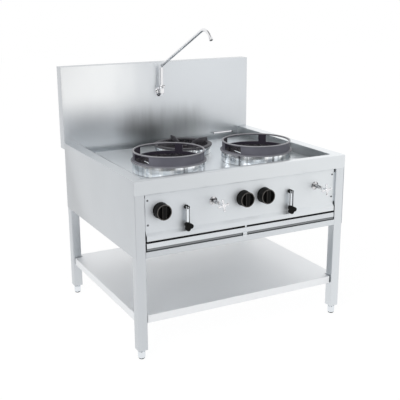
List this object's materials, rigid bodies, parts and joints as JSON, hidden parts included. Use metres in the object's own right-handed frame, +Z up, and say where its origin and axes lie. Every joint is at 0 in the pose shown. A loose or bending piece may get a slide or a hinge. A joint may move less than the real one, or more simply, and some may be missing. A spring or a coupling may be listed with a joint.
{
  "type": "wok range",
  "caption": "Free-standing stainless gas wok range with ring burners, sunk rinsing worktop, gutter, splashback, swivel spout, drip tray and undershelf.",
  "frame": {"origin": "centre of the overall bounding box at floor level", "axes": "+Z up, -Y towards the cook, +X to the cook's right"},
  "size_m": [1.2, 1.17, 1.5445],
  "materials": {
    "stainless_frame": "satin box tube, welds dressed",
    "stainless_sheet": "fine brushed sheet with folded edges",
    "bright_steel": "bright turned stainless steel",
    "chrome": "polished chrome plate",
    "cast_iron": "dark heat-proof enamel over cast iron",
    "brass": "machined brass valve bodies",
    "gas_steel": "yellow-painted steel gas tube",
    "copper_pipe": "dull copper tube",
    "black_plastic": "black heat-proof plastic"
  },
  "bodies": {
    "range_frame": {"leg_front_left": "stainless_frame", "leg_front_right": "stainless_frame", "leg_rear_left": "stainless_frame", "leg_rear_right": "stainless_frame", "lower_rail_front": "stainless_frame", "lower_rail_rear": "stainless_frame", "lower_rail_left": "stainless_frame", "lower_rail_right": "stainless_frame", "worktop_rim": "stainless_sheet", "well_walls": "stainless_sheet", "well_floor": "stainless_sheet", "gutter_floor": "stainless_sheet", "gutter_walls": "stainless_sheet", "side_panel_left": "stainless_sheet", "side_panel_right": "stainless_sheet", "rear_panel": "stainless_sheet", "splash_back": "stainless_sheet", "splash_rear_cover": "stainless_sheet", "undershelf": "stainless_sheet", "shelf_stiffeners": "stainless_sheet", "control_panel": "stainless_sheet", "panel_screws": "bright_steel", "panel_angles": "stainless_frame", "tray_runners": "stainless_frame", "burner_collar_left": "stainless_sheet", "burner_collar_right": "stainless_sheet", "burner_collar_rear": "stainless_sheet", "fire_bowl_left": "cast_iron", "fire_bowl_right": "cast_iron", "fire_bowl_rear": "cast_iron", "burner_left": "cast_iron", "burner_right": "cast_iron", "burner_rear": "cast_iron", "pilot_tubes": "bright_steel", "gas_manifold": "gas_steel", "gas_inlet_pipe": "gas_steel", "gas_taps": "brass", "lever_valves": "brass", "gas_pipes": "copper_pipe", "water_taps": "chrome", "water_pipes": "copper_pipe", "wall_tap_body": "chrome", "rinse_pipe": "bright_steel", "waste_pipe": "bright_steel", "knob_bezels": "black_plastic"},
    "knob_left": {"knob_left": "black_plastic"},
    "knob_middle": {"knob_middle": "black_plastic"},
    "knob_right": {"knob_right": "black_plastic"},
    "gas_lever_left": {"gas_lever_left": "bright_steel", "lever_grip_left": "black_plastic"},
    "gas_lever_right": {"gas_lever_right": "bright_steel", "lever_grip_right": "black_plastic"},
    "tap_handle_left": {"tap_handle_left": "chrome"},
    "tap_handle_right": {"tap_handle_right": "chrome"},
    "swivel_spout": {"swivel_spout": "chrome"},
    "drip_tray": {"drip_tray_floor": "stainless_sheet", "drip_tray_walls": "stainless_sheet", "drip_tray_front": "stainless_sheet"},
    "wok_ring_left": {"wok_ring_left": "cast_iron"},
    "wok_ring_right": {"wok_ring_right": "cast_iron"},
    "pan_ring_rear": {"pan_ring_rear": "cast_iron"},
    "gutter_strainer": {"gutter_strainer": "bright_steel"},
    "foot_front_left": {"foot_front_left": "bright_steel"},
    "foot_front_right": {"foot_front_right": "bright_steel"},
    "foot_rear_left": {"foot_rear_left": "bright_steel"},
    "foot_rear_right": {"foot_rear_right": "bright_steel"}
  },
  "joints": [
    {"name": "knob_left_turn", "type": "hinge", "parent": "range_frame", "child": "knob_left", "pos_m": [-0.464, -0.485, 0.744], "axis": [0, -1, 0], "range_deg": [0, 270]},
    {"name": "knob_middle_turn", "type": "hinge", "parent": "range_frame", "child": "knob_middle", "pos_m": [-0.012, -0.485, 0.744], "axis": [0, -1, 0], "range_deg": [0, 270]},
    {"name": "knob_right_turn", "type": "hinge", "parent": "range_frame", "child": "knob_right", "pos_m": [0.108, -0.485, 0.744], "axis": [0, -1, 0], "range_deg": [0, 270]},
    {"name": "gas_lever_left_swing", "type": "hinge", "parent": "range_frame", "child": "gas_lever_left", "pos_m": [-0.331, -0.485, 0.744], "axis": [0, -1, 0], "range_deg": [0, 90]},
    {"name": "gas_lever_right_swing", "type": "hinge", "parent": "range_frame", "child": "gas_lever_right", "pos_m": [0.262, -0.485, 0.744], "axis": [0, -1, 0], "range_deg": [0, 90]},
    {"name": "tap_handle_left_turn", "type": "hinge", "parent": "range_frame", "child": "tap_handle_left", "pos_m": [-0.182, -0.485, 0.753], "axis": [0, -1, 0], "range_deg": [0, 720]},
    {"name": "tap_handle_right_turn", "type": "hinge", "parent": "range_frame", "child": "tap_handle_right", "pos_m": [0.421, -0.485, 0.753], "axis": [0, -1, 0], "range_deg": [0, 720]},
    {"name": "spout_swing", "type": "hinge", "parent": "range_frame", "child": "swivel_spout", "pos_m": [0, 0.485, 1.194], "axis": [0, 0, 1], "range_deg": [-90, 90]},
    {"name": "drip_tray_pull", "type": "slide", "parent": "range_frame", "child": "drip_tray", "axis": [0, -1, 0], "range_m": [0, 0.6]},
    {"name": "wok_ring_left_lift", "type": "slide", "parent": "range_frame", "child": "wok_ring_left", "axis": [0, 0, 1], "range_m": [0, 0.15]},
    {"name": "wok_ring_right_lift", "type": "slide", "parent": "range_frame", "child": "wok_ring_right", "axis": [0, 0, 1], "range_m": [0, 0.15]},
    {"name": "pan_ring_rear_lift", "type": "slide", "parent": "range_frame", "child": "pan_ring_rear", "axis": [0, 0, 1], "range_m": [0, 0.15]},
    {"name": "gutter_strainer_lift", "type": "slide", "parent": "range_frame", "child": "gutter_strainer", "axis": [0, 0, 1], "range_m": [0, 0.1]},
    {"name": "foot_front_left_turn", "type": "hinge", "parent": "range_frame", "child": "foot_front_left", "pos_m": [-0.5735, -0.46, 0], "axis": [0, 0, 1], "range_deg": [0, 1800]},
    {"name": "foot_front_right_turn", "type": "hinge", "parent": "range_frame", "child": "foot_front_right", "pos_m": [0.5735, -0.46, 0], "axis": [0, 0, 1], "range_deg": [0, 1800]},
    {"name": "foot_rear_left_turn", "type": "hinge", "parent": "range_frame", "child": "foot_rear_left", "pos_m": [-0.5735, 0.49, 0], "axis": [0, 0, 1], "range_deg": [0, 1800]},
    {"name": "foot_rear_right_turn", "type": "hinge", "parent": "range_frame", "child": "foot_rear_right", "pos_m": [0.5735, 0.49, 0], "axis": [0, 0, 1], "range_deg": [0, 1800]}
  ]
}
